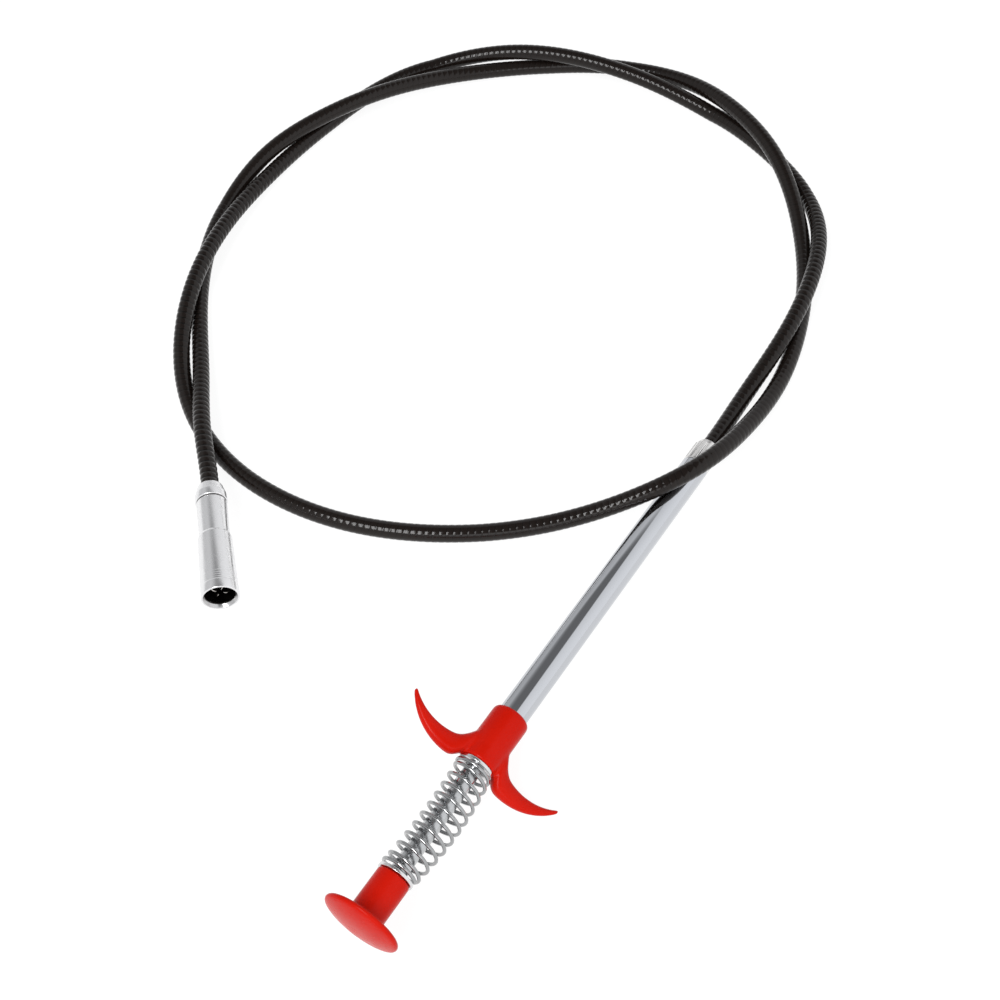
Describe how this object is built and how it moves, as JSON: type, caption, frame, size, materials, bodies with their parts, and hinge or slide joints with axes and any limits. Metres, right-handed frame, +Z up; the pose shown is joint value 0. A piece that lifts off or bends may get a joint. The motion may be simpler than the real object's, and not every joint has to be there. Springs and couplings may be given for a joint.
{
  "type": "drain auger",
  "caption": "Claw-grabber drain tool: a sprung thumb button in a finger grip pushes hooked claws out of the tip of a long flexible hose.",
  "frame": {"origin": "on the floor under the middle of the handle's bounding box, the hose and what is on it left out", "axes": "+Z up; the handle lies along Y with its thumb button towards -Y, and its axis falls by 3.8 degrees towards +Y"},
  "size_m": [0.2569, 0.3786, 0.0316],
  "materials": {
    "red_plastic": "glossy injection-moulded red",
    "hose_sheath": "semi-gloss black sheath over a coiled casing",
    "chromed_tube": "bright plated steel",
    "zinc_steel": "bright zinc-plated steel",
    "spring_wire": "bright plated spring wire",
    "cable_steel": "stranded steel cable",
    "claw_wire": "bright spring-steel wire",
    "turned_aluminium": "turned, with fine tool marks",
    "brass": "plain turned brass",
    "nylon": "natural nylon"
  },
  "bodies": {
    "root": {"grip_washer": "zinc_steel", "finger_grip": "red_plastic", "rod_guide": "nylon", "handle_tube": "chromed_tube", "crimp_ferrule": "zinc_steel", "hose": "hose_sheath", "tip_socket": "turned_aluminium", "return_spring": "spring_wire"},
    "plunger": {"thumb_button": "red_plastic", "button_washer": "zinc_steel", "plunger_rod": "zinc_steel", "stop_ring": "zinc_steel", "cable_crimp": "brass", "control_cable": "cable_steel"},
    "claw_carrier": {"claw_hub": "brass", "tip_cable": "cable_steel"},
    "claw_1": {"claw_1": "claw_wire"},
    "claw_2": {"claw_2": "claw_wire"},
    "claw_3": {"claw_3": "claw_wire"},
    "claw_4": {"claw_4": "claw_wire"}
  },
  "joints": [
    {"name": "plunger_slide", "type": "slide", "parent": "root", "child": "plunger", "axis": [0, 0.9978, -0.0657], "range_m": [0, 0.026], "stiffness_N_per_m": 500, "springref_m": -0.006, "deforming": ["return_spring"]},
    {"name": "claw_slide", "type": "slide", "parent": "root", "child": "claw_carrier", "axis": [0.6968, -0.7088, 0.1097], "range_m": [0, 0.026]},
    {"name": "claw_1_spread", "type": "hinge", "parent": "claw_carrier", "child": "claw_1", "pos_m": [-0.12237, -0.02439, 0.0142], "axis": [0.6576, 0.5703, -0.4924], "range_deg": [0, 22.1]},
    {"name": "claw_2_spread", "type": "hinge", "parent": "claw_carrier", "child": "claw_2", "pos_m": [-0.12096, -0.02291, 0.01476], "axis": [0.2864, 0.4152, 0.8635], "range_deg": [0, 22.1]},
    {"name": "claw_3_spread", "type": "hinge", "parent": "claw_carrier", "child": "claw_3", "pos_m": [-0.12151, -0.02314, 0.01679], "axis": [-0.6576, -0.5703, 0.4924], "range_deg": [0, 22.1]},
    {"name": "claw_4_spread", "type": "hinge", "parent": "claw_carrier", "child": "claw_4", "pos_m": [-0.12293, -0.02462, 0.01624], "axis": [-0.2864, -0.4152, -0.8635], "range_deg": [0, 22.1]}
  ],
  "couplings": [
    {"joint": "claw_slide", "follows": "plunger_slide", "ratio": 1},
    {"joint": "claw_1_spread", "follows": "plunger_slide", "rad_per_m": 14.76},
    {"joint": "claw_2_spread", "follows": "plunger_slide", "rad_per_m": 14.76},
    {"joint": "claw_3_spread", "follows": "plunger_slide", "rad_per_m": 14.76},
    {"joint": "claw_4_spread", "follows": "plunger_slide", "rad_per_m": 14.76}
  ]
}
